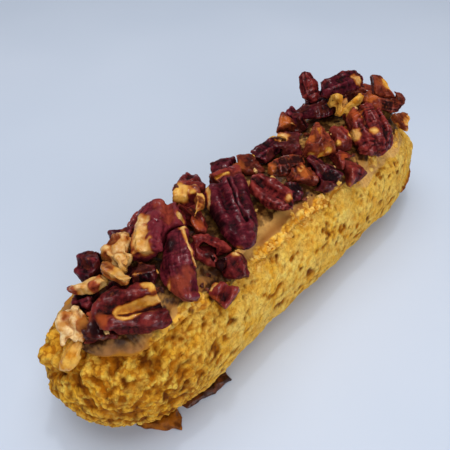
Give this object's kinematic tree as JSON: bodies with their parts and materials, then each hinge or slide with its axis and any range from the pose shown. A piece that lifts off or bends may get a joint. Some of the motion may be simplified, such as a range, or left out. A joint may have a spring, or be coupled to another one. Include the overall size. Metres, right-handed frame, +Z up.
{
  "type": "eclair",
  "caption": "Long choux pastry eclair with a cracked sugar crust, topped with praline cream and broken candied pecans.",
  "frame": {"origin": "middle of the flat underside", "axes": "+X along the bun, +Z up, out of the topping; the side seen in the picture is -Y"},
  "size_m": [0.1402, 0.042, 0.0467],
  "materials": {
    "crust": "crumbly golden craquelin crust, matte",
    "cream": "smooth praline cream, satin",
    "pecan_plum": "dark candied nut skin, glossy",
    "pecan_red": "red-brown candied nut skin, glossy",
    "pecan_toasted": "toasted orange-brown nut, glossy",
    "pecan_pale": "pale broken nut, satin"
  },
  "bodies": {
    "root": {"choux_bun": "crust", "praline_cream": "cream", "pecan_01": "pecan_red", "pecan_02": "pecan_plum", "pecan_03": "pecan_toasted", "pecan_04": "pecan_pale", "pecan_05": "pecan_pale", "pecan_06": "pecan_plum", "pecan_07": "pecan_plum", "pecan_08": "pecan_plum", "pecan_09": "pecan_pale", "pecan_10": "pecan_red", "pecan_11": "pecan_toasted", "pecan_12": "pecan_toasted", "pecan_13": "pecan_red", "pecan_14": "pecan_toasted", "pecan_15": "pecan_plum", "pecan_16": "pecan_toasted", "pecan_17": "pecan_pale", "pecan_18": "pecan_pale", "pecan_19": "pecan_pale", "pecan_20": "pecan_red", "pecan_21": "pecan_red", "pecan_22": "pecan_plum", "pecan_23": "pecan_plum", "pecan_24": "pecan_plum", "pecan_25": "pecan_plum", "pecan_26": "pecan_plum", "pecan_27": "pecan_red", "pecan_28": "pecan_red", "pecan_29": "pecan_red", "pecan_30": "pecan_red", "pecan_31": "pecan_red", "pecan_32": "pecan_pale", "pecan_33": "pecan_red", "pecan_34": "pecan_red", "pecan_35": "pecan_red", "pecan_36": "pecan_plum", "pecan_37": "pecan_toasted", "pecan_38": "pecan_plum", "pecan_39": "pecan_toasted", "pecan_40": "pecan_toasted", "pecan_41": "pecan_plum", "pecan_42": "pecan_plum", "pecan_43": "pecan_plum", "pecan_44": "pecan_red", "pecan_45": "pecan_red", "pecan_46": "pecan_red", "pecan_47": "pecan_plum", "pecan_48": "pecan_plum", "pecan_49": "pecan_toasted", "pecan_50": "pecan_pale", "pecan_51": "pecan_toasted", "pecan_52": "pecan_red"}
  },
  "joints": []
}
